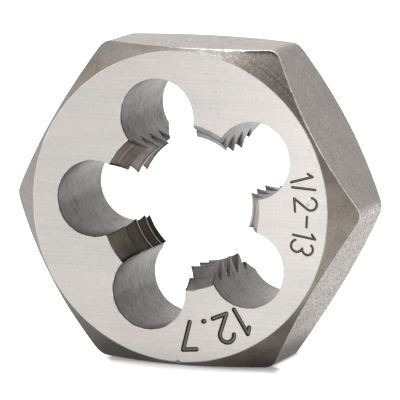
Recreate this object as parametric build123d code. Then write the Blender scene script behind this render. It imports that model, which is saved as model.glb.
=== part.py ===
from build123d import *
import math
import os

# A solid hexagon threading die for cutting or renewing a half-inch bolt thread.
# Sizes are in millimetres and angles in degrees. The die stands on one flat of its hexagon.
# The thread axis lies along Y, and the origin is on it, halfway through the die.
# The starting face, where the bolt goes in, looks towards -Y.

# Hexagon bar
across_flats = 25.4
thickness = 9.525
edge_rounding = 1.1

# Turned corners: the round flat left on each face, and the slope of the cones outside it
start_face_radius = 12.43
back_face_radius = 12.16
corner_slope = 43.5

# Right-hand thread, and how far behind the starting face its groove crosses the first chip hole
major_diameter = 12.7
threads_per_inch = 13
thread_angle = 60
groove_place = 0.84

# Countersunk mouths at the two ends of the thread
mouth_angle = 60
start_mouth_radius = 6.73
back_mouth_radius = 6.95

# Chip holes round the thread, the first one measured from +X towards +Z
chip_hole_count = 5
chip_hole_radius = 3.1
chip_circle_radius = 7.33
first_chip_hole = 105.85

# How far a cutting shape runs past the metal that it cuts
overrun = 1.0

# Sizes that follow from those above
inch = 25.4
pitch = inch / threads_per_inch
major_radius = major_diameter / 2
flank_slope = math.tan(math.radians(thread_angle / 2))
sharp_height = pitch / 2 / flank_slope
crest_radius = major_radius - 17 / 24 * sharp_height
start_y = -thickness / 2
back_y = thickness / 2


def hexagon_bar():
    """A length of hexagon bar lying along Y, with its six long edges rounded."""
    section = RegularPolygon(across_flats / 2, 6, major_radius=False)
    bar = extrude(Plane.XZ * section, amount=thickness / 2, both=True)
    return fillet(bar.edges().filter_by(Axis.Y), edge_rounding)


def corner_cone(face_y, face_radius, inwards):
    """The cone that turns down the corners behind one face; inwards is +1 or -1 along Y."""
    depth = thickness + overrun
    spread = depth / math.tan(math.radians(corner_slope))
    outline = Polyline(
        (0, face_y),
        (face_radius, face_y),
        (face_radius + spread, face_y + inwards * depth),
        (0, face_y + inwards * depth),
        close=True,
    )
    return revolve(make_face(outline), Axis.Y)


def crest_bore():
    """The plain hole that the crests of the teeth reach in to."""
    circle = Plane.XZ * Circle(crest_radius)
    return extrude(circle, amount=thickness / 2 + overrun, both=True)


def thread_mouth(face_y, mouth_radius, inwards):
    """The countersink that tapers the first teeth behind one face."""
    slope = math.tan(math.radians(mouth_angle / 2))
    outline = Polyline(
        (0, face_y - inwards * overrun),
        (mouth_radius + overrun * slope, face_y - inwards * overrun),
        (0, face_y + inwards * mouth_radius / slope),
        close=True,
    )
    return revolve(make_face(outline), Axis.Y)


def chip_holes():
    """The holes that break into the bore, clear the chips and leave the lands between them."""
    places = PolarLocations(chip_circle_radius, chip_hole_count, first_chip_hole)
    circles = Sketch() + [place * Circle(chip_hole_radius) for place in places]
    return extrude(Plane.XZ * circles, amount=thickness / 2 + overrun, both=True)


def thread_groove():
    """The V groove between the teeth, turn after turn, each one starting in the first chip hole."""
    root_flat = pitch / 8
    inner_radius = crest_radius - root_flat / 2
    inner_flat = root_flat + 2 * (major_radius - inner_radius) * flank_slope
    outline = Polyline(
        (inner_radius, -inner_flat / 2),
        (major_radius, -root_flat / 2),
        (major_radius, root_flat / 2),
        (inner_radius, inner_flat / 2),
        close=True,
    )
    section = Plane.XZ * make_face(outline)
    turn = sweep(section, Helix(pitch, pitch, major_radius), is_frenet=True)
    turn = Rot(-90, 0, 0) * Rot(0, 0, -first_chip_hole) * turn
    first = math.floor(-(groove_place + inner_flat / 2) / pitch)
    past_last = math.ceil((thickness - groove_place + inner_flat / 2) / pitch)
    return [Pos(0, start_y + groove_place + number * pitch, 0) * turn for number in range(first, past_last)]


hex_die = hexagon_bar()
hex_die &= corner_cone(start_y, start_face_radius, 1)
hex_die &= corner_cone(back_y, back_face_radius, -1)
hex_die -= crest_bore()
hex_die -= thread_mouth(start_y, start_mouth_radius, 1)
hex_die -= thread_mouth(back_y, back_mouth_radius, -1)
hex_die -= chip_holes()
hex_die -= thread_groove()

os.makedirs("parts", exist_ok=True)
export_step(hex_die, "parts/hex_die.step")
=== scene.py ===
# A solid hexagon threading die for half-inch bolts, standing on one of its flats.
# Its two faces are ground, its corners are turned, its flats are blasted, its chip holes are
# drilled and its teeth are cut. Lengths are in metres, and the thread axis lies along Y.

import math
from functools import partial
from types import SimpleNamespace

import bmesh
import bpy
from bpy.props import FloatProperty, FloatVectorProperty, IntProperty, PointerProperty, StringProperty
from mathutils import Matrix, Vector, noise


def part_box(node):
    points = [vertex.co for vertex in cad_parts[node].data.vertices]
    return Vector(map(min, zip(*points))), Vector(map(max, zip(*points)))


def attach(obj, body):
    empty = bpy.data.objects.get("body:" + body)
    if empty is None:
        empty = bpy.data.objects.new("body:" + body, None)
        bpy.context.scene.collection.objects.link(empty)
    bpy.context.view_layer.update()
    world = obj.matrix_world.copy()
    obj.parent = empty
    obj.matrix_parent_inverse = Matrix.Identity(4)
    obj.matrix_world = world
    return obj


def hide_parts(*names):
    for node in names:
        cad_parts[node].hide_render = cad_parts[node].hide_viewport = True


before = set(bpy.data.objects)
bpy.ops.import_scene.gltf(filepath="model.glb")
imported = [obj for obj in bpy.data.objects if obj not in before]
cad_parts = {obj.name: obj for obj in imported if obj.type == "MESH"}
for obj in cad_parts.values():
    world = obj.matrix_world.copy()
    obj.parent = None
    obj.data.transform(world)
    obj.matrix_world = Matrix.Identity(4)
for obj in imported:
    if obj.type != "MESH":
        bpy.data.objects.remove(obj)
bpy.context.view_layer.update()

bl_info = {
    "name": "Hex Threading Die",
    "version": (1, 0, 0),
    "blender": (4, 5, 0),
    "location": "3D View > Sidebar > Die",
    "description": "Builds a hexagon threading die, its finishes and a plain studio round it",
    "category": "Object",
}

MM = 0.001
NODE = "hex_die"
STEEL = NODE + "_steel"

NODE_LOW, NODE_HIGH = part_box(NODE)

# How far each drill wandered from its true place, in X and Z
DRILL_WANDER = (
    (0.05 * MM, 0.01 * MM),
    (0.05 * MM, -0.055 * MM),
    (0.05 * MM, -0.03 * MM),
    (0.01 * MM, -0.09 * MM),
    (0.06 * MM, 0.01 * MM),
)

# Places round the starting face where its edges are rolled over, rubbed or nicked. Each has its
# middle and its spread in degrees, and how much broader the broken edge is there.
RAGGED_TOP = (71, 17, 0.12 * MM)
ROLLED_TOP = (71.5, 8.5, 0.2 * MM)
ROLLED_END = (61, 9, 0.03 * MM)
FOOT_NICK = (270.4, 1.4, 0.15 * MM)

# The rubbed edge is broader by a share of its usual breadth instead
RUBBED_SIDE = (33, 42, 0.35)

# Steps of the round shapes
FLAT_STEPS = 90
CORNER_STEPS = 22
HOLE_STEPS = 144
BORE_STEPS = 240
BREAK_STEPS = 3
HEX_SIDES = 6

# How far the cutters run past the faces, how many turns early the groove starts, and how much
# thinner the drills are than their holes
OVERRUN = 1.0 * MM
GROOVE_LEAD = 2
DRILL_UNDERSIZE = 0.015 * MM

# Depth of the teeth as a share of the height of a sharp V
TOOTH_SHARE = 17 / 24

# Edges that turn by more than this many degrees stay sharp in the shading
SHARP_TURN = 24


def a_number(name, description, default, **kind):
    """A number that a user can change."""
    return FloatProperty(name=name, description=description, default=default, **kind)


a_length = partial(a_number, unit="LENGTH")
a_power = partial(a_number, unit="POWER")


def an_angle(name, description, degrees):
    """An angle that a user can change."""
    return a_number(name, description, math.radians(degrees), subtype="ANGLE")


def a_colour(name, description, default):
    """A colour that a user can change."""
    return FloatVectorProperty(
        name=name, description=description, default=default, size=3, min=0, max=1, subtype="COLOR"
    )


class DieSizes(bpy.types.PropertyGroup):
    """Sizes of the die itself"""

    across_flats: a_length(
        "Across Flats", "Width of the hexagon between two opposite flats", NODE_HIGH[2] - NODE_LOW[2]
    )
    thickness: a_length("Thickness", "Distance between the two ground faces", NODE_HIGH[1] - NODE_LOW[1])
    edge_rounding: a_length("Edge Rounding", "Radius of the six long edges of the hexagon", 1.1 * MM)
    start_face_radius: a_length(
        "Starting Face Radius", "Radius of the round flat that turning leaves on that face", 12.43 * MM
    )
    back_face_radius: a_length(
        "Back Face Radius", "Radius of the round flat that turning leaves on the back face", 12.16 * MM
    )
    corner_slope: an_angle("Corner Slope", "Angle between a ground face and the cone of its corners", 43.5)
    major_diameter: a_length("Major Diameter", "Outside diameter of the bolt thread that is cut", 12.7 * MM)
    pitch: a_length("Pitch", "Distance from one tooth to the next, 13 of them to the inch", 25.4 / 13 * MM)
    thread_angle: an_angle("Thread Angle", "Angle between the two flanks of a tooth", 60)
    groove_place: a_length(
        "Groove Place", "How far behind the starting face the groove crosses the first chip hole", 0.84 * MM
    )
    mouth_angle: an_angle("Mouth Angle", "Angle of the countersinks at the two ends of the thread", 60)
    start_mouth_radius: a_length(
        "Starting Mouth Radius", "Radius of the countersink on the starting face", 6.73 * MM
    )
    back_mouth_radius: a_length("Back Mouth Radius", "Radius of the countersink on the back face", 6.95 * MM)
    chip_hole_count: IntProperty(
        name="Chip Holes", description="Number of chip holes round the thread", default=5
    )
    chip_hole_radius: a_length("Chip Hole Radius", "Radius of each chip hole", 3.1 * MM)
    chip_circle_radius: a_length(
        "Chip Circle Radius", "Distance from the thread axis to the axis of each chip hole", 7.33 * MM
    )
    first_chip_hole: an_angle("First Chip Hole", "Angle of the first chip hole, from +X towards +Z", 105.85)
    face_break: a_length("Face Edge Break", "Rounding where a turned corner meets a ground face", 0.036 * MM)
    flat_break: a_length("Flat Edge Break", "Rounding where a turned corner meets a flat", 0.07 * MM)
    hole_break: a_length("Hole Edge Break", "Rounding at the rims of the holes", 0.04 * MM)
    crest_wear: a_length("Crest Wear", "Width worn off each edge of the crests of the teeth", 0.07 * MM)


def finish(name):
    """The material of one finish, which is filled in once the shape is made."""
    return bpy.data.materials.get(name) or bpy.data.materials.new(name)


def new_object(name, data):
    """An object for a mesh, a curve, a lamp or a lens, in the scene."""
    made = bpy.data.objects.new(name, data)
    bpy.context.scene.collection.objects.link(made)
    return made


def round_y(angle):
    """The unit vector at an angle round the thread axis, in X and Z."""
    return Vector((math.cos(angle), math.sin(angle)))


def rounded_break(before, corner, after):
    """Points round a small broken edge, from one side of its corner to the other."""
    shares = [step / BREAK_STEPS for step in range(BREAK_STEPS + 1)]
    return [before * (1 - t) ** 2 + corner * 2 * t * (1 - t) + after * t**2 for t in shares]


def solid_object(name, shape, finishes):
    """An object from a closed shape, with its sides turned outwards."""
    bmesh.ops.recalc_face_normals(shape, faces=shape.faces)
    mesh = bpy.data.meshes.new(name)
    shape.to_mesh(mesh)
    shape.free()
    for wanted in finishes:
        mesh.materials.append(finish(wanted))
    return new_object(name, mesh)


def grid_object(name, rings, bands):
    """A closed skin over rings of points.

    Bands names the finish between each ring and the next, and last the finish of the two ends.
    """
    finishes = list(dict.fromkeys(bands))
    shape = bmesh.new()
    rows = [[shape.verts.new(point) for point in ring] for ring in rings]
    count = len(rings[0])
    for number, (low, high) in enumerate(zip(rows, rows[1:])):
        for step in range(count):
            after = (step + 1) % count
            face = shape.faces.new((low[step], low[after], high[after], high[step]))
            face.material_index = finishes.index(bands[number])
    for end in (rows[0], rows[-1]):
        shape.faces.new(end).material_index = finishes.index(bands[-1])
    return solid_object(name, shape, finishes)


def hexagon_outline(sizes):
    """Points round the hexagon with its rounded corners, in the X and Z directions."""
    flat_reach = sizes.across_flats / 2
    corner_turn = 2 * math.pi / HEX_SIDES
    corner_reach = (flat_reach - sizes.edge_rounding) / math.cos(corner_turn / 2)
    half_flat = (flat_reach - sizes.edge_rounding) * math.tan(corner_turn / 2)
    points = []
    for side in range(HEX_SIDES):
        facing = corner_turn * (side + 0.5)
        outward = round_y(facing)
        along = Vector((-outward.y, outward.x))
        for step in range(FLAT_STEPS):
            points.append(outward * flat_reach + along * (2 * step / FLAT_STEPS - 1) * half_flat)
        centre = round_y(corner_turn * (side + 1)) * corner_reach
        for step in range(CORNER_STEPS):
            points.append(centre + round_y(facing + corner_turn * step / CORNER_STEPS) * sizes.edge_rounding)
    return points


def uneven(angle, seed, turns, octaves=3):
    """Smooth unevenness from -1 to 1 round a circle, the same on each run."""
    place = Vector((math.cos(angle) * turns, math.sin(angle) * turns, seed))
    return noise.fractal(place, 1.0, 2.0, octaves)


def swell(angle, middle, spread, height):
    """A smooth bump round a circle, with its middle and the spread beyond which it ends in degrees."""
    off = (math.degrees(angle) - middle + 180) % 360 - 180
    return height * max(0.0, 1 - (off / spread) ** 2) ** 2


def corner_profile(angle, reach, face_radius, sizes, seed, rolled):
    """Radius and depth from a ground face, over the cone and on to the flat, at one angle.

    Rolled is 1 where the top of the starting face has its ragged, rolled-over edges.
    """
    slope = sizes.corner_slope
    ragged = uneven(angle, seed + 7, 45)
    face_break = sizes.face_break * (1 + 0.3 * uneven(angle, seed, 14))
    face_break += rolled * swell(angle, *RAGGED_TOP) * max(0.0, 0.3 + ragged)
    face_break += rolled * swell(angle, *FOOT_NICK)
    flat_break = sizes.flat_break * (0.75 + rolled * swell(angle, *RUBBED_SIDE))
    flat_break *= 1 + 0.5 * uneven(angle, seed + 5, 22)
    flat_break += rolled * swell(angle, *ROLLED_TOP) * max(0.35, 0.8 + 1.8 * ragged)
    flat_break += rolled * swell(angle, *ROLLED_END)
    edge = face_radius + 0.012 * MM * uneven(angle, seed + 9, 9)
    down_cone = round_y(slope)
    face_corner = Vector((edge, 0))
    flat_corner = Vector((reach, (reach - edge) * math.tan(slope)))
    start = rounded_break(
        face_corner - Vector((face_break, 0)), face_corner, face_corner + down_cone * face_break
    )
    end = rounded_break(
        flat_corner - down_cone * flat_break, flat_corner, flat_corner + Vector((0, flat_break))
    )
    middle = [start[-1].lerp(end[0], part) for part in (0.34, 0.67)]
    return start + middle + end


def along_axis(front, back, sizes):
    """Two profiles of radius and depth from a face, as radius and Y place from front to back."""
    half = sizes.thickness / 2
    return [Vector((p.x, p.y - half)) for p in front], [Vector((p.x, half - p.y)) for p in reversed(back)]


def hexagon_body(sizes):
    """The hexagon bar with its corners turned down to a round flat on each face."""
    columns = []
    for point in hexagon_outline(sizes):
        reach = point.length
        angle = math.atan2(point.y, point.x)
        away = point / reach
        front = corner_profile(angle, reach, sizes.start_face_radius, sizes, 1, 1)
        back = corner_profile(angle, reach, sizes.back_face_radius, sizes, 2, 0)
        front, back = along_axis(front, back, sizes)
        flat = [front[-1].lerp(back[0], part) for part in (0.25, 0.5, 0.75)]
        columns.append([Vector((away.x * s.x, s.y, away.y * s.x)) for s in front + flat + back])
    rings = [list(ring) for ring in zip(*columns)]
    cone = ["face_rim"] * BREAK_STEPS + ["turned_corner"] * 3 + ["flat_burr"] * BREAK_STEPS
    return grid_object(STEEL, rings, cone + ["blasted_flat"] * 4 + cone[::-1] + ["ground_face"])


def spun_rings(profile, steps, centre):
    """Rings of points that spin a profile of radius and Y place round an axis along Y."""
    turns = [2 * math.pi * step / steps for step in range(steps)]
    return [
        [Vector((centre[0] + radius * math.cos(a), y, centre[1] + radius * math.sin(a))) for a in turns]
        for radius, y in profile
    ]


def boring_tool(name, profile, walls, steps, centre=(0, 0)):
    """A round cutter whose walls lie between two broken rims."""
    rims = ["hole_rim"] * (BREAK_STEPS + 1)
    return grid_object(name, spun_rings(profile, steps, centre), rims + walls + rims + ["hole_rim"])


def chip_hole_places(sizes):
    """Angle and centre of each chip hole."""
    for number in range(sizes.chip_hole_count):
        angle = sizes.first_chip_hole + 2 * math.pi * number / sizes.chip_hole_count
        centre = round_y(angle) * sizes.chip_circle_radius
        yield angle, centre + Vector(DRILL_WANDER[number % len(DRILL_WANDER)])


def chip_hole_drill(sizes, centre):
    """A drill with a slight flare at each face, which breaks the rim of its hole."""
    half = sizes.thickness / 2
    radius = sizes.chip_hole_radius - DRILL_UNDERSIZE
    rim = sizes.hole_break
    front = rounded_break(
        Vector((radius + rim, -half)), Vector((radius, -half)), Vector((radius, -half + rim))
    )
    back = [Vector((p.x, -p.y)) for p in reversed(front)]
    flared = Vector((radius + rim * 1.2, -half - OVERRUN))
    profile = [flared] + front + back + [Vector((flared.x, -flared.y))]
    return boring_tool("drill", profile, ["drilled_wall"], HOLE_STEPS, centre)


def crest_radius(sizes):
    """How near the crests of the teeth come to the axis."""
    sharp_height = sizes.pitch / 2 / math.tan(sizes.thread_angle / 2)
    return sizes.major_diameter / 2 - TOOTH_SHARE * sharp_height


def bore_reamer(sizes):
    """The plain bore at the crests of the teeth, with its two countersunk mouths."""
    half = sizes.thickness / 2
    slope = math.tan(sizes.mouth_angle / 2)
    crest = crest_radius(sizes)

    def mouth(radius):
        """Radius and depth from the face, down the mouth to the crests."""
        rim = sizes.hole_break
        down = Vector((-math.sin(sizes.mouth_angle / 2), math.cos(sizes.mouth_angle / 2)))
        corner = Vector((radius, 0))
        top = rounded_break(corner + Vector((rim, 0)), corner, corner + down * rim)
        return top + [Vector((crest, (radius - crest) / slope))]

    front, back = along_axis(mouth(sizes.start_mouth_radius), mouth(sizes.back_mouth_radius), sizes)
    first = Vector((front[0].x, -half - OVERRUN))
    last = Vector((back[-1].x, half + OVERRUN))
    walls = ["mouth_cone", "tooth_crest", "mouth_cone"]
    return boring_tool("reamer", [first] + front + back + [last], walls, BORE_STEPS)


def thread_groove(sizes):
    """The V groove between the teeth, as one long screw that runs past both faces."""
    slope = math.tan(sizes.thread_angle / 2)
    outer = sizes.major_diameter / 2
    root = sizes.pitch / 8
    root_rounding = 0.03 * MM
    crest = crest_radius(sizes)
    worn = sizes.crest_wear

    # From the root to the crest, whose edge is worn, and on into the empty bore
    right_side = [
        (outer, root / 2 - root_rounding),
        (outer - root_rounding, root / 2 + root_rounding * slope),
        (crest + worn, root / 2 + (outer - crest - worn) * slope),
        (crest, root / 2 + (outer - crest) * slope + worn),
        (crest - worn, root / 2 + (outer - crest) * slope + worn * 2.2),
    ]
    section = [(radius, -across) for radius, across in reversed(right_side)] + right_side
    turns = GROOVE_LEAD + math.ceil(sizes.thickness / sizes.pitch) + 1
    start = sizes.groove_place - sizes.thickness / 2 - GROOVE_LEAD * sizes.pitch
    rings = []
    for step in range(turns * BORE_STEPS + 1):
        turned = step / BORE_STEPS
        angle = sizes.first_chip_hole - 2 * math.pi * turned
        x, z = math.cos(angle), math.sin(angle)
        y = start + sizes.pitch * turned
        rings.append([Vector((r * x, y + across, r * z)) for r, across in section])
    return grid_object("groove", rings, ["tooth_flank"] * len(rings))


def made_mesh(shaped):
    """A new mesh of an object as its modifiers and settings shape it."""
    bpy.context.view_layer.update()
    return bpy.data.meshes.new_from_object(shaped.evaluated_get(bpy.context.evaluated_depsgraph_get()))


def cut_away(body, cutter, overlapping=False):
    """Cuts one shape out of another, and the cut surfaces keep the cutter's finish."""
    step = body.modifiers.new("cut", "BOOLEAN")
    step.operation = "DIFFERENCE"
    step.solver = "EXACT"
    step.object = cutter
    step.material_mode = "TRANSFER"
    step.use_self = overlapping
    mesh = made_mesh(body)
    body.modifiers.clear()
    old, used = body.data, cutter.data
    body.data = mesh
    bpy.data.objects.remove(cutter)
    for spent in (old, used):
        bpy.data.meshes.remove(spent)


class DIE_OT_steel(bpy.types.Operator):
    """Build the one solid piece of steel: hexagon, turned corners, holes and thread"""

    bl_idname = "die.build_steel"
    bl_label = "Build the Steel"

    def execute(self, context):
        sizes = context.scene.die_sizes
        body = hexagon_body(sizes)
        cut_away(body, bore_reamer(sizes))
        for _, centre in chip_hole_places(sizes):
            cut_away(body, chip_hole_drill(sizes, centre))
        cut_away(body, thread_groove(sizes))
        if not body.data.polygons:
            raise RuntimeError("cutting the holes and the thread left no steel")
        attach(body, "root")
        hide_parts(NODE)
        return {"FINISHED"}


class ThreadSizeNumerals(bpy.types.PropertyGroup):
    """The thread size in inches, stamped at the right of the starting face"""

    text: StringProperty(
        name="Text", description="Bolt diameter in inches and threads to the inch", default="1/2-13"
    )
    middle: an_angle("Middle", "Angle of the middle of the row, from +X towards +Z", 0.8)
    height: a_length("Height", "Height of a numeral", 1.85 * MM)
    gap: a_number("Gap", "Gap between numerals, in heights of a numeral", 0.22)
    stroke: a_length("Stroke", "Width of a stroke", 0.21 * MM)
    foot_radius: a_length("Foot Radius", "Distance from the axis to the feet of the numerals", 9.75 * MM)


class MetricSizeNumerals(bpy.types.PropertyGroup):
    """The bolt diameter in millimetres, stamped at the foot of the starting face"""

    text: StringProperty(name="Text", description="Bolt diameter in millimetres", default="12.7")
    middle: an_angle("Middle", "Angle of the middle of the row, from +X towards +Z", -72)
    height: a_length("Height", "Height of a numeral", 2.2 * MM)
    gap: a_number("Gap", "Gap between numerals, in heights of a numeral", 0.42)
    stroke: a_length("Stroke", "Width of a stroke", 0.39 * MM)
    foot_radius: a_length("Foot Radius", "Distance from the axis to the feet of the numerals", 9.2 * MM)


def arc(x, y, radius, start, end, steps=14):
    """Points along an arc, with its start and end in degrees."""
    turns = [math.radians(start + (end - start) * step / steps) for step in range(steps + 1)]
    return [(x + radius * math.cos(turn), y + radius * math.sin(turn)) for turn in turns]


TWO_BOW = arc(0.27, 0.73, 0.27, 165, -38)

# The strokes of each numeral and its width, both in heights of a numeral
NUMERALS = {
    "1": ([[(0.03, 0.83), (0.2, 1.0)], [(0.2, 1.0), (0.2, 0.0)]], 0.2),
    "2": ([TWO_BOW, [TWO_BOW[-1], (0.0, 0.0)], [(0.0, 0.0), (0.56, 0.0)]], 0.56),
    "3": ([arc(0.25, 0.76, 0.24, 150, -80), arc(0.24, 0.26, 0.26, 80, -150)], 0.5),
    "7": ([[(0.0, 1.0), (0.52, 1.0)], [(0.52, 1.0), (0.18, 0.0)]], 0.52),
    "/": ([[(0.04, 0.0), (0.3, 1.0)]], 0.36),
    "-": ([[(0.02, 0.54), (0.46, 0.54)]], 0.48),
    ".": ([[(0.0, 0.03), (0.04, 0.03)]], 0.04),
}
STAMP_DEPTH_SHARE = 0.36


def numeral_strokes(row, centre_y):
    """Paths in space of all strokes of a row of numerals, clockwise with their heads outwards."""
    height = row.height
    across = height * (sum(NUMERALS[sign][1] for sign in row.text) + row.gap * (len(row.text) - 1))
    place = -across / 2
    for sign in row.text:
        strokes, width = NUMERALS[sign]
        turn = row.middle - (place + width * height / 2) / (row.foot_radius + height / 2)
        outward = Vector((math.cos(turn), 0, math.sin(turn)))
        along = Vector((math.sin(turn), 0, -math.cos(turn)))
        foot = outward * row.foot_radius + Vector((0, centre_y, 0))
        for stroke in strokes:
            yield [foot + (along * (x - width / 2) + outward * y) * height for x, y in stroke]
        place += (width + row.gap) * height


def add_stroke(shape, points, radius):
    """Adds a round stroke with round ends, drawn along a path, to a shape."""
    line = bpy.data.curves.new("stroke", "CURVE")
    line.dimensions = "3D"
    line.bevel_depth = radius
    line.bevel_resolution = 4
    line.use_fill_caps = True
    spline = line.splines.new("POLY")
    spline.points.add(len(points) - 1)
    for knot, point in zip(spline.points, points):
        knot.co = (*point, 1)
    drawn = new_object("stroke", line)
    mesh = made_mesh(drawn)
    shape.from_mesh(mesh)
    bpy.data.objects.remove(drawn)
    bpy.data.curves.remove(line)
    bpy.data.meshes.remove(mesh)

    # The round ends are a hair thinner than the stroke, so that no two skins lie in one place
    for end in (points[0], points[-1]):
        bmesh.ops.create_uvsphere(
            shape, u_segments=20, v_segments=11, radius=radius * 0.998, matrix=Matrix.Translation(end)
        )


def stamp(body, row, face_y):
    """Stamps a row of numerals in the starting face."""
    depth = row.stroke * STAMP_DEPTH_SHARE
    radius = (row.stroke**2 / 4 + depth**2) / (2 * depth)
    shape = bmesh.new()
    for points in numeral_strokes(row, face_y - radius + depth):
        add_stroke(shape, points, radius)
    bmesh.ops.remove_doubles(shape, verts=shape.verts, dist=radius * 0.001)
    cut_away(body, solid_object("punch", shape, ["stamped_groove"]), overlapping=True)


class DIE_OT_numerals(bpy.types.Operator):
    """Stamp the plain size numerals in the starting face"""

    bl_idname = "die.stamp_numerals"
    bl_label = "Stamp the Numerals"

    def execute(self, context):
        scene = context.scene
        for row in (scene.die_thread_size, scene.die_metric_size):
            stamp(bpy.data.objects[STEEL], row, -scene.die_sizes.thickness / 2)
        return {"FINISHED"}


PATH_MAP = "tool_path"


def keep_borders_crisp(mesh):
    """Marks the edges between two finishes as sharp, so that flat surfaces stay flat up to them."""
    beside = {}
    for face in mesh.polygons:
        for edge in face.edge_keys:
            beside.setdefault(edge, set()).add(face.material_index)
    for edge in mesh.edges:
        if len(beside.get(edge.key, ())) > 1:
            edge.use_edge_sharp = True


def lay_tool_paths(body, sizes):
    """A map in millimetres whose U runs with the tool and V across its marks, for the finishes."""
    mesh = body.data
    layer = mesh.uv_layers.new(name=PATH_MAP)
    names = [material.name for material in mesh.materials]
    holes = list(chip_hole_places(sizes))
    for face in mesh.polygons:
        place = tool_path(names[face.material_index], face.center, sizes, holes)
        for corner in face.loop_indices:
            point = mesh.vertices[mesh.loops[corner].vertex_index].co
            layer.uv[corner].vector = place(point)


def turned_from(start, centre, middle):
    """A function from a point to its turn round a centre, counted from start, unbroken near middle."""
    base = (math.atan2(middle.z - centre.y, middle.x - centre.x) - start) % (2 * math.pi)

    def turn_of(point):
        turn = math.atan2(point.z - centre.y, point.x - centre.x) - start - base
        return base + (turn + math.pi) % (2 * math.pi) - math.pi

    return turn_of


def tool_path(kind, middle, sizes, holes):
    """A function from a point of one face to its place along and across the tool's marks."""
    axis = Vector((0, 0))
    if kind == "drilled_wall":
        flat_middle = Vector((middle.x, middle.z))
        number = min(range(len(holes)), key=lambda n: (holes[n][1] - flat_middle).length)
        angle, centre = holes[number]
        turn_of = turned_from(angle + math.pi, centre, middle)
        radius = sizes.chip_hole_radius / MM
        return lambda point: (turn_of(point) * radius + 40 * number, point.y / MM)
    if kind == "turned_corner":
        turn_of = turned_from(-math.pi / 2, axis, middle)
        radius = sizes.start_face_radius / MM
        return lambda point: (turn_of(point) * radius, math.hypot(point.x, point.z) / MM)
    if kind in ("mouth_cone", "tooth_crest", "tooth_flank"):
        turn_of = turned_from(sizes.first_chip_hole, axis, middle)
        radius = crest_radius(sizes) / MM
        return lambda point: (
            turn_of(point) * radius,
            (point.y + sizes.pitch * turn_of(point) / (2 * math.pi)) / MM,
        )
    if kind == "blasted_flat":
        side = round(math.atan2(middle.z, middle.x) / (math.pi / 3) - 0.5)
        facing = math.pi / 3 * (side + 0.5)
        return lambda point: (
            (point.z * math.cos(facing) - point.x * math.sin(facing)) / MM + 30 * side,
            point.y / MM,
        )
    return lambda point: (point.x / MM, point.z / MM)


def wired(operation, swapped=False):
    """A method that adds a math node for a wire and another wire or number."""

    def method(wire, other):
        pair = (other, wire) if swapped else (wire, other)
        return wire.bench.math(operation, *pair)

    return method


class Wire:
    """An output of a node. Sums, products and spans of it add more nodes to its bench."""

    __add__ = wired("ADD")
    __sub__ = wired("SUBTRACT")
    __rsub__ = wired("SUBTRACT", swapped=True)
    __mul__ = wired("MULTIPLY")
    __truediv__ = wired("DIVIDE")
    __rtruediv__ = wired("DIVIDE", swapped=True)
    __lt__ = wired("LESS_THAN")
    __gt__ = wired("GREATER_THAN")

    def __init__(self, bench, socket):
        self.bench = bench
        self.socket = socket

    def span(self, low, high, to_low=0.0, to_high=1.0, smooth=False):
        """Carries the stretch from low to high over to another one, and holds its ends beyond it."""
        kind = "SMOOTHSTEP" if smooth else "LINEAR"
        inputs = {"Value": self, "From Min": low, "From Max": high, "To Min": to_low, "To Max": to_high}
        return self.bench.wire("Result", "ShaderNodeMapRange", inputs, interpolation_type=kind)

    def blend(self, off, on):
        """From one value where this mask is 0 to another where it is 1."""
        return self.span(0.0, 1.0, off, on)

    def spread(self, low, high):
        """This noise, most of which lies between 0.3 and 0.7, spread from low to high."""
        return self.span(0.3, 0.7, low, high)


def socket_name(word):
    """The name of a socket, such as Pit Size for pit_size."""
    return word.replace("_", " ").title()


class Bench:
    """Puts nodes in one tree and feeds them with numbers, colours or other nodes' outputs."""

    def __init__(self, tree):
        self.tree = tree

    def feed(self, socket, value):
        if isinstance(value, Wire):
            self.tree.links.new(value.socket, socket)
        else:
            socket.default_value = (*value, 1) if socket.type == "RGBA" else value

    def node(self, kind, inputs=None, **settings):
        made = self.tree.nodes.new(kind)
        for name, value in settings.items():
            setattr(made, name, value)
        for name, value in (inputs or {}).items():
            self.feed(made.inputs[name], value)
        return made

    def wire(self, output, kind, inputs=None, **settings):
        """One output of a new node."""
        return Wire(self, self.node(kind, inputs, **settings).outputs[output])

    def wires(self, node):
        """All outputs of a node, by name."""
        named = {out.name.lower().replace(" ", "_"): Wire(self, out) for out in node.outputs if out.name}
        return SimpleNamespace(**named)

    def math(self, operation, first, second=0.0):
        return self.wire(0, "ShaderNodeMath", {0: first, 1: second}, operation=operation)

    def mix(self, factor, first, second, way="MIX"):
        inputs = {0: factor, 6: first, 7: second}
        return self.wire(2, "ShaderNodeMix", inputs, data_type="RGBA", blend_type=way)

    def shade(self, colour, value):
        """A colour made lighter or darker by a value near 1."""
        grey = self.wire(0, "ShaderNodeCombineColor", {0: value, 1: value, 2: value})
        return self.mix(1.0, colour, grey, "MULTIPLY")

    def noise(self, vector, scale, detail=2.0, roughness=0.5):
        inputs = {"Vector": vector, "Scale": scale, "Detail": detail, "Roughness": roughness}
        return self.wire(0, "ShaderNodeTexNoise", inputs)

    def parts(self, vector):
        """X, Y and Z of a vector."""
        made = self.node("ShaderNodeSeparateXYZ", {0: vector})
        return [Wire(self, out) for out in made.outputs]

    def joined(self, x, y, z):
        return self.wire(0, "ShaderNodeCombineXYZ", {0: x, 1: y, 2: z})

    def place(self):
        """The place on the object in millimetres."""
        place = self.wire("Object", "ShaderNodeTexCoord")
        return self.wire(0, "ShaderNodeVectorMath", {0: place, 3: 1 / MM}, operation="SCALE")

    def effect(self, name, **values):
        """The outputs of one of the shared effects, placed in this tree."""
        made = self.node("ShaderNodeGroup", node_tree=bpy.data.node_groups[name])
        for word, value in values.items():
            self.feed(made.inputs[socket_name(word)], value)
        return self.wires(made)


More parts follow.
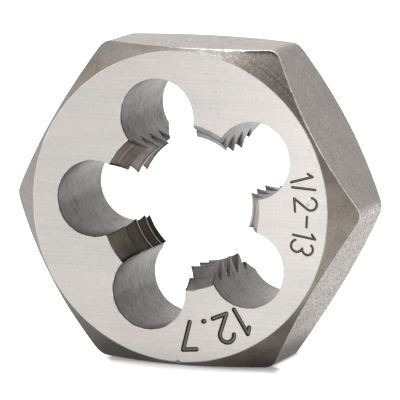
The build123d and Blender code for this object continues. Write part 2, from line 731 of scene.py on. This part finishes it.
def new_effect(name, **inputs):
    """An empty shader group with named inputs, as its bench and the wires that come in."""
    tree = bpy.data.node_groups.new(name, "ShaderNodeTree")
    for word, value in inputs.items():
        socket = tree.interface.new_socket(socket_name(word), in_out="INPUT", socket_type="NodeSocketFloat")
        socket.default_value = value
    bench = Bench(tree)
    return bench, bench.wires(bench.node("NodeGroupInput"))


def give(bench, **outputs):
    """Ends a shader group with its named outputs."""
    for word in outputs:
        bench.tree.interface.new_socket(socket_name(word), in_out="OUTPUT", socket_type="NodeSocketFloat")
    sockets = bench.node("NodeGroupOutput").inputs
    for word, value in outputs.items():
        bench.feed(sockets[socket_name(word)], value)


def make_tool_lines():
    """Fine lines that a tool leaves along its path, with a few deeper scratches."""
    bench, given = new_effect("Tool Lines", along=0.1, across=8.0, slant=0.0, wander=0.0, seed=0.0)
    path = {"Vector": bench.wire(0, "ShaderNodeUVMap", uv_map=PATH_MAP), "Angle": given.slant}
    turned = bench.wire(0, "ShaderNodeVectorRotate", path, rotation_type="Z_AXIS")
    along, straight, _ = bench.parts(turned)
    sway = bench.noise(bench.joined(along * 0.25, straight, given.seed), 1.0)
    across = straight + (sway - 0.5) * given.wander

    def lines(stretch, squeeze, offset):
        x = along * (given.along * stretch)
        y = across * (given.across * squeeze)
        return bench.joined(x, y, given.seed + offset)

    give(
        bench,
        lines=bench.noise(lines(1.0, 1.0, 0.0), 1.0, 3.0, 0.62),
        bands=bench.noise(lines(0.4, 0.16, 7.0), 1.0, 2.0, 0.5),
        scratches=bench.noise(lines(1.6, 0.8, 13.0), 1.0, 1.0, 0.5).span(0.66, 0.74),
    )


def make_blotches():
    """Slow changes of tone over the steel."""
    bench, given = new_effect("Blotches", size=4.0, seed=0.0)
    shift = bench.joined(given.seed, 0.0, given.seed)
    moved = bench.wire(0, "ShaderNodeVectorMath", {0: bench.place(), 1: shift}, operation="ADD")
    slow = bench.noise(moved, 1.0 / given.size, 4.0, 0.55)
    give(bench, tone=slow, stain=slow.span(0.52, 0.72))


def make_grit():
    """Fine grain and small pits, as blasting and turned scale leave."""
    bench, given = new_effect("Grit", grain=5.0, pit_size=0.4, pit_share=0.1)
    place = bench.place()
    cell = bench.wires(bench.node("ShaderNodeTexVoronoi", {"Vector": place, "Scale": 1.0 / given.pit_size}))
    chosen = bench.parts(cell.color)[0] < given.pit_share
    give(
        bench,
        grain=bench.noise(place, given.grain, 2.0, 0.7),
        pits=chosen * cell.distance.span(0.16, 0.3, 1.0, 0.0, True),
    )


def make_edge_wear():
    """Where an edge is near, broken up as handling wears it."""
    bench, given = new_effect("Edge Wear", width=0.05 * MM, breakup=3.0)
    rounded = bench.wire(0, "ShaderNodeBevel", {"Radius": given.width}, samples=6)
    true = bench.wire("Normal", "ShaderNodeNewGeometry")
    nearness = bench.wire(1, "ShaderNodeVectorMath", {0: rounded, 1: true}, operation="DOT_PRODUCT")
    patchy = bench.noise(bench.place(), given.breakup, 2.0, 0.6).span(0.35, 0.6)
    give(bench, wear=nearness.span(0.995, 0.8) * patchy)


def make_thread_place(sizes):
    """Where a point lies beside the thread's groove and the chip holes.

    Burr is 1 on a chip hole's wall where the next tooth is torn, for burrs darkened with painted
    shade; Lip And Highlight just behind that, for a painted highlight; and Unshaded Share falls where
    a tooth lies close to a hole, deep in its groove, for painted shade. Lengths are in millimetres.
    """
    bench, given = new_effect("Thread Place", burr_width=0.6, dark_width=0.3)
    x, y, z = bench.parts(bench.place())
    angle = bench.math("ARCTAN2", z, x) - sizes.first_chip_hole
    from_axis = bench.math("SQRT", x * x + z * z)
    start = (sizes.groove_place - sizes.thickness / 2) / MM
    pitch = sizes.pitch / MM
    turns = (y - start) / pitch + angle / (2 * math.pi)
    behind = (turns - bench.math("ROUND", turns)) * pitch
    inward = sizes.major_diameter / 2 / MM - from_axis
    from_edge = behind - (inward * math.tan(sizes.thread_angle / 2) + pitch / 16)
    narrow = given.burr_width * inward.span(-0.2, 0.6, 0.45, 1.0)
    past = from_edge - narrow
    inside = inward.span(-0.36, -0.2)
    later = behind > -0.16
    hole_turn = 2 * math.pi / sizes.chip_hole_count
    nearest = bench.math("ROUND", angle / hole_turn) * hole_turn
    swing = bench.math("COSINE", angle - nearest)
    circle = sizes.chip_circle_radius / MM
    squared = from_axis * from_axis + circle**2 - from_axis * (2 * circle) * swing
    away = bench.math("SQRT", squared) - sizes.chip_hole_radius / MM
    near = (away / given.dark_width).span(0.0, 1.0, 1.0, 0.0, True)
    closed = 1.0 - inward.span(0.1, 0.9, 0.2, 0.75)
    give(
        bench,
        burr=(from_edge < narrow) * inside * later,
        lip=past.span(0.0, 0.03) * past.span(0.2, 0.08) * inside * later,
        open=1.0 - near * closed,
    )


def tinted(colour, share):
    """A colour whose three parts are each scaled."""
    return tuple(part * scale for part, scale in zip(colour, share))


class Surface(Bench):
    """The bench of one finish, with the shader of bare metal on it."""

    def __init__(self, name):
        material = finish(name)
        material.use_nodes = True
        material.node_tree.nodes.clear()
        super().__init__(material.node_tree)
        self.shader = self.node("ShaderNodeBsdfPrincipled", {"Metallic": 1.0})
        self.node("ShaderNodeOutputMaterial", {"Surface": Wire(self, self.shader.outputs[0])})

    def set(self, values):
        """Feeds the shader's sockets."""
        for name, value in values.items():
            self.feed(self.shader.inputs[name], value)

    def dress(self, colour, roughness, height, depth):
        """Gives the shader its colour, its roughness, and a height from 0 to 1 as a bump that deep."""
        bump = self.wire(0, "ShaderNodeBump", {"Strength": 1.0, "Distance": depth, "Height": height})
        self.set({"Base Color": colour, "Roughness": roughness, "Normal": bump})


def ground_face(look):
    """Surface-ground faces: fine straight lines, warm and cool bands, faint stains, a few nicks, and painted
    light towards the right.
    """
    steel = Surface("ground_face")
    marks = steel.effect("Tool Lines", along=0.12, across=5.5, wander=0.15, seed=3.0)
    nicks = steel.effect("Tool Lines", along=0.9, across=6.0, slant=0.04, wander=0.3, seed=70.0)
    blotches = steel.effect("Blotches", size=5.0, seed=11.0)
    grit = steel.effect("Grit", grain=6.0, pit_size=0.6, pit_share=0.012)
    x, _, z = steel.parts(steel.place())
    value = marks.lines.spread(0.925, 1.06) * grit.grain.spread(0.95, 1.05)
    value *= blotches.tone.span(0.35, 0.65, 0.975, 1.02)
    value *= marks.bands.span(0.35, 0.65, 0.97, 1.03)
    nicked = (x + z).span(4.0, 9.0, 0.01, 0.15, True)
    value -= nicks.scratches * nicked
    value -= grit.pits * (nicked * 1.6)
    # Towards the right the face has fewer stains and is lighter as painted light
    cleaner_and_lit = (x * 0.9 - z * 0.4).span(2.0, 10.0, smooth=True)
    value *= cleaner_and_lit.blend(1.0, 1.085)
    low = z.span(-5.0, -11.0, 0.3, 1.0, True)
    stain = (marks.bands.span(0.45, 0.65) * 0.35 + blotches.stain * low).blend(0.0, 1.0)
    colour = steel.mix(stain * cleaner_and_lit.blend(0.7, 0.25), look.ground, look.stain)
    steel.dress(steel.shade(colour, value), marks.lines.spread(0.3, 0.42), marks.lines, 0.002 * MM)


def turned_corner(look):
    """Turned cones: ring marks, brown scale, a fine crust that is scuffed pale at the top and has painted
    glints, and painted shade towards the foot.
    """
    steel = Surface("turned_corner")
    marks = steel.effect("Tool Lines", along=0.06, across=5.0, wander=0.1, seed=21.0)
    blotches = steel.effect("Blotches", size=2.4, seed=40.0)
    patches = steel.effect("Blotches", size=0.45, seed=12.0)
    grit = steel.effect("Grit", grain=7.5, pit_size=0.3, pit_share=0.2)
    x, _, z = steel.parts(steel.place())
    upper_right = x * 0.5 + z * 0.86
    crusted = upper_right.span(11.2, 12.5, smooth=True)
    coarse = grit.grain - 0.5

    # Painted shade towards the foot, and the cone dims along a sliver at the top
    left_foot_shade = z.span(-10.6, -11.8, 0.96, 0.66)
    right_foot_shade = z.span(-10.0, -12.5, 1.32, 0.46)
    foot = x.span(-1.5, -3.0).blend(0.97, left_foot_shade)
    foot = x.span(2.6, 5.6).blend(foot, right_foot_shade)
    sliver = z.span(12.1, 12.4) * x.span(2.0, -0.5) * x.span(-5.2, -3.4)
    value = marks.lines.spread(0.9, 1.1)
    value *= z.span(-6.0, -9.0, 1.0, 0.47, True) * crusted.blend(1.0, 1.18)
    value *= z.span(-9.0, -10.2).blend(1.0, foot)
    value *= sliver.blend(1.0, 0.77)
    value *= coarse * crusted.blend(0.85, 1.9) + 1.0
    value *= patches.tone.spread(0.94, 1.06)

    colour = steel.mix(blotches.tone.span(0.38, 0.62), look.turned, look.scale)
    colour = steel.mix(grit.pits * crusted.blend(0.12, 0.35), colour, (0.08, 0.07, 0.06))
    colour = steel.shade(colour, value)
    cooler = (
        (z.span(11.0, 12.3) * 0.8, (0.91, 0.95, 1.0)),
        (crusted, (0.93, 0.97, 0.96)),
        (x.span(-9.0, -12.0), (0.97, 0.985, 1.04)),
    )
    for mask, tint in cooler:
        colour = steel.mix(mask, colour, steel.shade(tinted(look.turned, tint), value))

    # Scuffs near the top, painted shade under its rolled edge, and painted glints in the crust
    scuffed = x.span(0.0, 2.2) * x.span(7.0, 3.6) * z.span(11.4, 11.9)
    scuffed *= patches.tone.span(0.4, 0.6, 0.2, 1.0)
    colour = steel.mix(scuffed * 0.8, colour, steel.shade(look.ground, coarse * 1.6 + 0.97))
    under = steel.math("MAXIMUM", z.span(12.36, 12.5), upper_right.span(14.12, 14.26))
    under *= x.span(4.6, 5.6) * x.span(8.0, 7.3)
    colour = steel.shade(colour, under.blend(1.0, 0.35))
    painted_glints = coarse.span(0.17, 0.22) * crusted
    colour = steel.mix(painted_glints * 0.7, colour, look.bright)
    height = marks.lines + grit.grain * crusted.blend(0.3, 1.2)
    steel.dress(colour, marks.lines.spread(0.38, 0.52), height, 0.006 * MM)


def blasted_flat(look):
    """Blasted flats: matte grain with small pits, coarser at the lower right, painted shade at the lower
    right end, and one rubbed corner.
    """
    steel = Surface("blasted_flat")
    grit = steel.effect("Grit", grain=5.4, pit_size=0.34, pit_share=0.16)
    rubs = steel.effect("Tool Lines", along=0.6, across=2.2, slant=0.5, wander=1.5, seed=90.0)
    blotches = steel.effect("Blotches", size=1.6, seed=5.0)
    patches = steel.effect("Blotches", size=0.5, seed=33.0)
    x, _, z = steel.parts(steel.place())
    coarse = (x * 0.866 - z * 0.5).span(12.2, 12.6, smooth=True)
    grain = (grit.grain - 0.5) * coarse.blend(1.35, 3.6) + patches.tone.spread(-0.045, 0.045)
    # Painted shade at the lower end of the lower right flat, near the floor
    lower_end_shade = z.span(-9.8, -11.6, 0.0, 0.52, True) * x.span(5.0, 6.5)
    corner = x.span(13.3, 14.0, smooth=True) * rubs.lines.spread(0.6, 1.0)
    crown = z.span(0.62, 0.25) * z.span(-1.0, -0.1) * corner
    value = blotches.tone.spread(0.93, 1.07) * coarse.blend(1.0, 0.95)
    value *= (grain + 1.0) * (1.0 - lower_end_shade)
    value *= crown * 0.3 + 1.0
    colour = steel.mix(patches.tone.span(0.4, 0.6, 0.0, 0.5), look.blasted, look.warm_grit)
    colour = steel.mix(grit.pits * coarse.blend(0.2, 0.6), colour, (0.1, 0.09, 0.085))
    height = grit.grain - grit.pits * 0.8
    steel.dress(steel.shade(colour, value), grit.grain.spread(0.5, 0.66), height, 0.01 * MM)


def drilled_wall(look):
    """Drilled walls: fine arcs left by the drill, the teeth's burrs where they end, darkened with painted
    shade, and painted shade and light by rim, depth, side and facing.
    """
    steel = Surface("drilled_wall")
    rings = steel.effect("Tool Lines", along=0.55, across=3.4, slant=0.08, wander=1.0, seed=9.0)
    cross = steel.effect("Tool Lines", along=1.3, across=5.0, slant=0.3, wander=1.6, seed=31.0)
    blotches = steel.effect("Blotches", size=1.6, seed=17.0)
    patches = steel.effect("Blotches", size=1.0, seed=52.0)
    grit = steel.effect("Grit")
    thread = steel.effect("Thread Place")
    x, y, z = steel.parts(steel.place())
    facing = steel.parts(steel.wire("Normal", "ShaderNodeTexCoord"))[2]
    sandy = (x - z * 0.6).span(4.5, 8.0, smooth=True)
    coarse = grit.grain - 0.5

    # Arcs, grain and blotches
    arcs = rings.lines.spread(0.68, 1.24) - 1.0 + (cross.lines.spread(0.74, 1.22) - 1.0)
    arcs *= sandy.blend(1.0, 0.35) * patches.tone.span(0.38, 0.6, 0.3, 1.4)
    value = (arcs + 1.0) * blotches.tone.spread(0.88, 1.12)
    value *= coarse * sandy.blend(0.8, 1.3) + 1.0

    # Painted shade at the dark rim, and painted light towards the back and in the holes on the right
    value *= (y + coarse * 0.3).span(-4.74, -4.22, 0.22, 1.0, True)
    value *= y.span(-4.4, 4.7, 0.9, z.span(-2.0, 6.0, 1.1, 1.24, True))
    value *= (x + z * 0.35).span(0.0, 7.0, 0.97, 1.34, True)

    # Painted shade on walls that face down, painted light on walls that face up, more so further back,
    # and painted shade at the front of the downward walls of the lower holes and the upward walls on the
    # left
    value *= facing.span(-0.6, -0.12, 1.0, 0.77, True)
    value *= facing.span(0.0, 0.65, 1.0, y.span(-3.8, 4.6, 1.38, 1.72), True)
    roof_shade = facing.span(-0.5, 0.05, z.span(6.0, 3.0, 1.0, 0.62), 1.0)
    foot = facing.span(0.75, 0.95, 1.0, x.span(-1.0, -7.0, 1.0, 0.66))
    value *= y.span(-4.7, -2.4, roof_shade * foot, 1.0)

    value += cross.scratches * 0.38
    value -= rings.scratches * 0.55
    value = steel.math("MAXIMUM", value, 0.12)
    colour = steel.mix(blotches.stain * sandy.blend(0.1, 0.6), look.drilled, look.rust)
    # A painted highlight just behind the end of each tooth, and the burrs there darkened with painted shade
    colour = steel.shade(steel.shade(colour, value), thread.lip * 0.3 + 1.0)
    shaded_burrs = thread.burr * grit.grain.span(0.35, 0.6, 0.75, 1.0)
    colour = steel.mix(shaded_burrs, colour, look.burr)
    steel.dress(colour, rings.lines.spread(0.36, 0.52), rings.lines, 0.01 * MM)


def cut_surface(name, colour, look, *, roughness, across, contrast, lower_left_tone, right, upper, lower):
    """A surface that a cutting edge left: marks round the axis, a darker land at the lower left, painted
    light on the land on the right, and painted shade deep in the groove near the chip holes.

    Lower left tone scales the tone of the land at the lower left, and lowers it further back; right
    scales the tone of the land on the right as painted light. Upper and lower scale the colours of the
    lands on the left, which are browned.
    """
    steel = Surface(name)
    marks = steel.effect("Tool Lines", along=0.2, across=across, wander=0.05, seed=2.0)
    blotches = steel.effect("Blotches", size=1.4, seed=60.0)
    grit = steel.effect("Grit", grain=6.5)
    edges = steel.effect("Edge Wear", width=0.03 * MM, breakup=2.5)
    thread = steel.effect("Thread Place")
    x, y, z = steel.parts(steel.place())
    value = marks.lines.spread(1 - contrast, 1 + contrast) * grit.grain.spread(0.82, 1.18)
    value *= blotches.tone.spread(0.76, 1.24)
    # The land at the lower left is darker, and more so further back
    lower_left_by_depth = y.span(0.6, 2.0, lower_left_tone, lower_left_tone * 0.58)
    value *= (x * -0.83 - z * 0.56).span(3.2, 4.8, 1.0, lower_left_by_depth, True)
    # Painted light on the land on the right, and painted shade deep in the groove near the chip holes
    value *= x.span(4.2, 5.6, 1.0, right, True) * thread.open
    brown = steel.mix(z.span(-1.5, 1.5, smooth=True), tinted(colour, lower), tinted(colour, upper))
    browned = steel.mix(x.span(-1.0, -3.5, smooth=True), colour, brown)
    worn = steel.mix(edges.wear * 0.5, steel.shade(browned, value), look.bright)
    steel.dress(worn, marks.lines.spread(roughness, roughness + 0.15), marks.lines, 0.004 * MM)


def edge_surface(name, dull, bright, *, size, least, roughness, foot, way, low, high):
    """A tiny broken edge, with burnish in patches and a painted highlight, more so the further it lies one
    way in X and Z.

    Low and high each hold a distance that way and the share that has burnish and highlight there.
    Foot scales its tone near the bottom of the die, as painted shade.
    """
    steel = Surface(name)
    blotches = steel.effect("Blotches", size=size, seed=80.0)
    grit = steel.effect("Grit")
    x, _, z = steel.parts(steel.place())
    share = (x * way[0] + z * way[1]).span(low[0], high[0], low[1], high[1], True)
    worn = blotches.tone.span(0.42, 0.58, share * least, 1.0) * share
    value = grit.grain.spread(0.85, 1.12) * z.span(-8.0, -11.0, 1.0, foot, True)
    colour = steel.shade(steel.mix(worn, dull, bright), value)
    rubbed = blotches.tone.span(0.4, 0.6, roughness + 0.08, roughness - 0.06)
    steel.dress(colour, rubbed, grit.grain, 0.003 * MM)


def stamped_groove(look, sizes):
    """Stamped strokes: dark sides and a lighter bottom where the punch pressed."""
    steel = Surface("stamped_groove")
    _, y, z = steel.parts(steel.place())
    grit = steel.effect("Grit", grain=12.0, pit_size=0.3, pit_share=0.2)
    face = -sizes.thickness / 2 / MM
    bottom = (y - z.span(-5.0, -7.0, 0.0, 0.055)).span(face + 0.05, face + 0.085, smooth=True)
    colour = steel.mix(bottom, look.stamp_side, look.stamp_bottom)
    colour = steel.shade(colour, grit.grain.spread(0.75, 1.2))
    steel.dress(colour, grit.grain.spread(0.42, 0.6), grit.grain, 0.005 * MM)


class FinishColours(bpy.types.PropertyGroup):
    """Colours of the finishes of the steel"""

    ground: a_colour("Ground", "Ground faces", (0.53, 0.506, 0.479))
    stain: a_colour("Stain", "Faint warm stains on the ground faces", (0.49, 0.445, 0.39))
    turned: a_colour("Turned", "Turned corners", (0.3, 0.263, 0.228))
    scale: a_colour("Scale", "Darker scale on the turned corners", (0.235, 0.202, 0.173))
    blasted: a_colour("Blasted", "Blasted flats", (0.475, 0.446, 0.414))
    warm_grit: a_colour("Warm Grit", "Warmer patches on the blasted flats", (0.49, 0.445, 0.415))
    drilled: a_colour("Drilled", "Walls of the chip holes", (0.287, 0.272, 0.264))
    rust: a_colour("Rust", "Faint rust on the walls of the chip holes", (0.3, 0.245, 0.21))
    # Near black, as painted shade on the burrs of the teeth
    burr: a_colour("Burr", "Burrs of the teeth on the walls of the chip holes", (0.026, 0.024, 0.022))
    mouth: a_colour("Mouth", "Countersunk mouths of the thread", (0.38, 0.355, 0.335))
    flank: a_colour("Flank", "Flanks of the teeth", (0.22, 0.203, 0.195))
    crest: a_colour("Crest", "Crests of the teeth", (0.7, 0.65, 0.59))
    # Real burnish on worn edges, also used for painted highlights on broken edges and painted glints in the
    # crust
    bright: a_colour("Bright", "Burnished edges", (0.85, 0.82, 0.77))
    # Near white: the rolled-over edge along the top with a painted highlight on it
    burnished_highlight: a_colour("Burnished", "Rolled-over burr along the top", (0.93, 0.9, 0.86))
    face_edge: a_colour("Face Edge", "Rounded edge of a ground face", (0.5, 0.48, 0.45))
    flat_edge: a_colour("Flat Edge", "Rounded edges of the flats", (0.165, 0.15, 0.137))
    rim_edge: a_colour("Rim Edge", "Rims of the holes", (0.36, 0.34, 0.32))
    stamp_side: a_colour("Stamp Side", "Sides of the stamped strokes", (0.032, 0.03, 0.027))
    stamp_bottom: a_colour("Stamp Bottom", "Bottoms of the stamped strokes", (0.215, 0.202, 0.185))
    # The flanks of the land at the lower left keep this share of their tone, and less further back
    lower_left_flank_tone: a_number("Oil Darkness", "How much of their light the oiled flanks keep", 0.42)


def cut_surfaces(look):
    """The mouths, the flanks and the crests of the teeth."""
    cut_surface(
        "mouth_cone", look.mouth, look, roughness=0.35, across=6.0, contrast=0.15,
        lower_left_tone=0.64, right=1.1, upper=(1.04, 0.89, 0.84), lower=(1.02, 0.96, 0.82),
    )
    cut_surface(
        "tooth_flank", look.flank, look, roughness=0.35, across=9.0, contrast=0.2,
        lower_left_tone=look.lower_left_flank_tone, right=1.55, upper=(0.94, 0.92, 0.88), lower=(1.02, 0.95, 0.86),
    )
    cut_surface(
        "tooth_crest", look.crest, look, roughness=0.3, across=6.0, contrast=0.1,
        lower_left_tone=0.6, right=1.0, upper=(1.0, 0.95, 0.88), lower=(1.0, 0.97, 0.9),
    )


def edge_surfaces(look):
    """The broken edges of the faces, the flats and the holes."""
    edge_surface(
        "face_rim", look.face_edge, look.bright, size=2.0, least=0.5, roughness=0.48,
        foot=0.5, way=(-0.4, 1.0), low=(-11.0, 0.05), high=(9.0, 0.8),
    )
    edge_surface(
        "flat_burr", look.flat_edge, look.burnished_highlight, size=0.28, least=0.7, roughness=0.6,
        foot=1.0, way=(0.9, 1.0), low=(10.8, 0.05), high=(13.8, 1.0),
    )
    edge_surface(
        "hole_rim", look.rim_edge, look.bright, size=0.8, least=0.0, roughness=0.34,
        foot=1.0, way=(-0.7, -0.7), low=(-6.0, 0.4), high=(6.0, 1.0),
    )


class DIE_OT_finishes(bpy.types.Operator):
    """Give every surface of the steel the finish of the tool that made it"""

    bl_idname = "die.apply_finishes"
    bl_label = "Apply the Finishes"

    def execute(self, context):
        look = context.scene.die_finishes
        sizes = context.scene.die_sizes
        body = bpy.data.objects[STEEL]
        body.data.shade_smooth()
        body.data.set_sharp_from_angle(angle=math.radians(SHARP_TURN))
        keep_borders_crisp(body.data)
        lay_tool_paths(body, sizes)
        for make in (make_tool_lines, make_blotches, make_grit, make_edge_wear):
            make()
        make_thread_place(sizes)
        for make in (ground_face, turned_corner, blasted_flat, drilled_wall, cut_surfaces, edge_surfaces):
            make(look)
        stamped_groove(look, sizes)
        return {"FINISHED"}


PICTURE_WIDTH = 400


def aim_camera(look, sizes):
    """The camera at the viewing angle of the picture."""
    place = Matrix.Translation((0, -sizes.thickness / 2, 0))
    for turn, axis in ((look.azimuth, "Z"), (math.pi / 2 - look.elevation, "X"), (look.roll, "Z")):
        place = place @ Matrix.Rotation(turn, 4, axis)
    lens = bpy.data.cameras.new("camera")
    lens.sensor_width = 36
    lens.lens = look.focal_pixels / PICTURE_WIDTH * lens.sensor_width
    lens.clip_start = 0.01
    lens.clip_end = 20
    camera = new_object("camera", lens)
    camera.matrix_world = place @ Matrix.Translation((-look.aside, -look.raised, look.distance))
    bpy.context.scene.camera = camera


def foot_shadow(paper, look, sizes):
    """How far a point of the floor lies from the foot of the die, in breadths of its painted shadow.

    The foot is as wide as the flat that it stands on, and its front edge follows the turned
    corner. Before the die the shadow swings to the right. Lengths are in millimetres.
    """
    deepest_turning = 2.0
    swing_starts, aside_starts, aside_full = 1.0, 2.9, 1.5
    x, y, _ = paper.parts(paper.place())
    face = sizes.thickness / 2 / MM
    half_foot = (sizes.across_flats / math.sqrt(3) / 2 - sizes.edge_rounding / 2) / MM
    reach = paper.math("SQRT", x * x + (sizes.across_flats / 2 / MM) ** 2)
    drop = (reach - sizes.start_face_radius / MM) * math.tan(sizes.corner_slope)
    edge = face - paper.math("MINIMUM", drop, deepest_turning)
    before = paper.math("MAXIMUM", swing_starts - face - y, 0.0)
    swung = before * look.shadow_swing
    swung += y.span(aside_starts - face, aside_full - face, 0.0, look.shadow_aside / MM, True)
    beside = paper.math("MAXIMUM", paper.math("ABSOLUTE", x - swung) - half_foot, 0.0)
    beyond = paper.math("MAXIMUM", paper.math("ABSOLUTE", y) - edge, 0.0)
    beside /= look.side_shadow / MM
    beyond /= look.front_shadow / MM
    return paper.math("SQRT", beside * beside + beyond * beyond)


def lay_floor(look, sizes):
    """A plain pale floor that keeps the die's shadow, with a painted shadow where its glow dims near the
    foot.
    """
    half = look.floor_width / 2
    low = -sizes.across_flats / 2
    mesh = bpy.data.meshes.new("floor")
    corners = [(-half, -half, low), (half, -half, low), (half, half, low), (-half, half, low)]
    mesh.from_pydata(corners, [], [(0, 1, 2, 3)])
    mesh.materials.append(finish("floor_paper"))
    floor = new_object("floor", mesh)
    paper = Surface("floor_paper")
    paper.set({"Metallic": 0.0, "Roughness": 0.9, "Specular IOR Level": 0.1})
    paper.set({"Base Color": look.floor_colour, "Emission Color": (1.0, 1.0, 1.0)})
    # The glow dims near the foot: a painted shadow on the floor
    glow = foot_shadow(paper, look, sizes).span(0.0, 1.0, look.contact_glow, look.floor_glow, True)
    path = paper.wires(paper.node("ShaderNodeLightPath"))
    mirrored = paper.math("MAXIMUM", path.is_glossy_ray, path.is_transmission_ray)
    paper.set({"Emission Strength": path.is_camera_ray * glow + mirrored * look.mirrored_glow})


def light_room(look):
    """White near the horizon, as from a paper sweep, greyer overhead and brighter on the left."""
    world = bpy.data.worlds.new("studio")
    world.use_nodes = True
    world.node_tree.nodes.clear()
    bench = Bench(world.node_tree)
    x, y, z = bench.parts(bench.wire("Generated", "ShaderNodeTexCoord"))
    glow = z.span(0.25, 0.9, look.horizon, look.ceiling, True)
    glow += x * -look.side_light + y * look.back_light
    glow = bench.math("MAXIMUM", glow, 0.0)
    room = bench.wire(0, "ShaderNodeBackground", {"Color": (1.0, 1.0, 1.0), "Strength": glow})
    bench.node("ShaderNodeOutputWorld", {"Surface": room})
    bpy.context.scene.world = world


def hang_lamp(name, place, target, width, length, power):
    """A soft rectangular lamp that faces a point, with its width kept level."""
    back = (Vector(place) - Vector(target)).normalized()
    level = Vector((1, 0, 0)) if back.z > 0.9 else Vector((0, 0, 1)).cross(back).normalized()
    up = back.cross(level).normalized()
    lamp = bpy.data.lights.new(name, "AREA")
    lamp.shape = "RECTANGLE"
    lamp.size = width
    lamp.size_y = length
    lamp.energy = power
    hung = new_object(name, lamp)
    hung.visible_camera = False
    axes = Matrix((up.cross(back), up, back)).transposed()
    hung.matrix_world = Matrix.Translation(place) @ axes.to_4x4()


class StudioLook(bpy.types.PropertyGroup):
    """The floor, light and camera round the die"""

    azimuth: an_angle("Azimuth", "How far the camera stands to the right of the die's axis", 20.43)
    elevation: an_angle("Elevation", "How far the camera looks down", 8.969)
    roll: an_angle("Roll", "How far the camera is tilted sideways", 0.689)
    distance: a_length("Distance", "Distance from the camera to the starting face", 405.237 * MM)
    aside: a_length("Aside", "How far right the starting face's middle lies in the picture", -1.685 * MM)
    raised: a_length("Raised", "How far up the starting face's middle lies in the picture", -0.583 * MM)
    focal_pixels: a_number("Focal Length", "Focal length in pixels of a picture 400 pixels wide", 5122.694)
    floor_width: a_length("Floor Width", "Width of the square floor", 3.0)
    floor_colour: a_colour("Floor Colour", "Colour of the floor's paper", (0.75, 0.76, 0.775))
    floor_glow: a_number("Floor Glow", "White that the floor adds where it is seen directly", 0.95)
    # Near the foot the floor's glow dims as a painted shadow, over the breadths below
    contact_glow: a_number("Contact Glow", "White that the floor adds right under the die", 0.15)
    shadow_aside: a_length("Shadow Aside", "How far right of the foot the shadow in front lies", 0.9 * MM)
    shadow_swing: a_number("Shadow Swing", "How far right the shadow swings for each length forward", 0.37)
    side_shadow: a_length("Side Shadow", "How far the shadow shows beside the foot", 0.9 * MM)
    front_shadow: a_length("Front Shadow", "How far the shadow shows before and behind the foot", 5.0 * MM)
    mirrored_glow: a_number("Mirrored Glow", "White that the floor adds where the steel mirrors it", 0.45)
    horizon: a_number("Horizon", "How bright the room is at eye level", 0.8)
    ceiling: a_number("Ceiling", "How bright the room is overhead", 0.42)
    side_light: a_number("Side Light", "How much brighter the room is on the left than ahead", 0.45)
    back_light: a_number("Back Light", "How much brighter the room is behind the die than beside it", 0.03)
    overhead_power: a_power("Overhead Lamp", "Power of the soft strip above and a little behind", 9.0)
    right_power: a_power("Right Lamp", "Power of the soft lamp on the right", 1.75)
    panel_power: a_power("Front Panel", "Power of the small panel that the face's right mirrors", 0.001)


class DIE_OT_studio(bpy.types.Operator):
    """Lay the floor and set the light and the camera"""

    bl_idname = "die.set_studio"
    bl_label = "Set the Studio"

    def execute(self, context):
        scene = context.scene
        look = scene.die_studio
        aim_camera(look, scene.die_sizes)
        lay_floor(look, scene.die_sizes)
        light_room(look)
        hang_lamp("overhead_lamp", (-0.3, 0.14, 1.17), (0, 0, 0), 0.7, 0.5, look.overhead_power)
        hang_lamp("right_lamp", (1.1, 0.0, 0.45), (0, 0, 0), 0.45, 0.45, look.right_power)
        hang_lamp("front_panel", (-0.002, -0.042, 0.008), (0.012, 0, 0), 0.014, 0.034, look.panel_power)
        scene.view_settings.view_transform = "Standard"
        return {"FINISHED"}


class DIE_PT_tools(bpy.types.Panel):
    """Tools that build the die and its studio"""

    bl_label = "Hex Threading Die"
    bl_space_type = "VIEW_3D"
    bl_region_type = "UI"
    bl_category = "Die"

    def draw(self, context):
        for tool in (DIE_OT_steel, DIE_OT_numerals, DIE_OT_finishes, DIE_OT_studio):
            self.layout.operator(tool.bl_idname)


# The settings that the scene holds
SETTINGS = {
    "die_sizes": DieSizes,
    "die_thread_size": ThreadSizeNumerals,
    "die_metric_size": MetricSizeNumerals,
    "die_finishes": FinishColours,
    "die_studio": StudioLook,
}
CLASSES = (*SETTINGS.values(), DIE_OT_steel, DIE_OT_numerals, DIE_OT_finishes, DIE_OT_studio, DIE_PT_tools)


def register():
    for known in CLASSES:
        bpy.utils.register_class(known)
    for name, group in SETTINGS.items():
        setattr(bpy.types.Scene, name, PointerProperty(type=group))


def unregister():
    for name in SETTINGS:
        delattr(bpy.types.Scene, name)
    for known in reversed(CLASSES):
        bpy.utils.unregister_class(known)


def main():
    register()
    bpy.ops.die.build_steel()
    bpy.ops.die.stamp_numerals()
    bpy.ops.die.apply_finishes()
    bpy.ops.die.set_studio()


if __name__ == "__main__":
    main()
